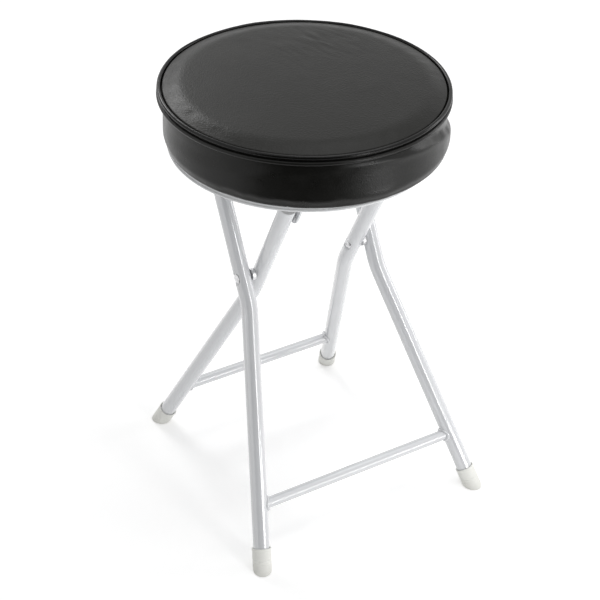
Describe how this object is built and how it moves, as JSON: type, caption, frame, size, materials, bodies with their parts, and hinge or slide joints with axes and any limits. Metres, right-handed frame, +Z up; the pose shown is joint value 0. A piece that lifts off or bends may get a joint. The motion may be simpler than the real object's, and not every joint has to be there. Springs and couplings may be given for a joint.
{
  "type": "folding stool",
  "caption": "Round padded folding stool: a piped vinyl box cushion on a steel pan, held up by crossed frames of splayed round tube with crossbars and rubber feet.",
  "frame": {"origin": "on the floor, in the middle of the open stool's outline", "axes": "+Z up; +X along the pivot line of the two frames; the outer frame's feet are towards -Y and the inner frame's towards +Y"},
  "size_m": [0.305, 0.3306, 0.4895],
  "materials": {
    "frame_paint": "gloss powder coat, pale cool grey",
    "tube_plug": "satin",
    "foot_rubber": "matte, off-white",
    "plated_steel": "zinc plated",
    "rivet_steel": "polished, slightly worn",
    "pan_metal": "satin",
    "board_wood": "raw plywood",
    "foam": "open foam",
    "vinyl": "fine-grained black vinyl, semi-gloss"
  },
  "bodies": {
    "inner_frame": {"left_inner_leg": "frame_paint", "right_inner_leg": "frame_paint", "inner_crossbar": "frame_paint", "inner_tube_plugs": "tube_plug", "left_inner_foot": "foot_rubber", "right_inner_foot": "foot_rubber", "pivot_rivets": "rivet_steel", "pivot_spacers": "rivet_steel", "hinge_rivets": "rivet_steel", "hinge_washers": "rivet_steel"},
    "outer_frame": {"left_outer_leg": "frame_paint", "right_outer_leg": "frame_paint", "outer_crossbar": "frame_paint", "outer_tube_plugs": "tube_plug", "left_outer_foot": "foot_rubber", "right_outer_foot": "foot_rubber", "rest_rod": "plated_steel", "rod_caps": "plated_steel"},
    "seat": {"seat_pan": "pan_metal", "left_hinge_strap": "frame_paint", "right_hinge_strap": "frame_paint", "left_rod_hook": "frame_paint", "right_rod_hook": "frame_paint", "flange_rivets": "rivet_steel", "board_screws": "plated_steel", "seat_board": "board_wood", "foam_pad": "foam", "cover_top": "vinyl", "cover_band": "vinyl", "piping": "vinyl", "cover_staples": "plated_steel"}
  },
  "joints": [
    {"name": "frame_fold", "type": "hinge", "parent": "inner_frame", "child": "outer_frame", "pos_m": [0, -0.00318, 0.278], "axis": [1, 0, 0], "range_deg": [0, 50.5]},
    {"name": "seat_tilt", "type": "hinge", "parent": "inner_frame", "child": "seat", "pos_m": [0, -0.04893, 0.37139], "axis": [1, 0, 0], "range_deg": [0, 116.1]}
  ],
  "couplings": [
    {"joint": "seat_tilt", "follows": "frame_fold", "ratio": 2.2985}
  ]
}
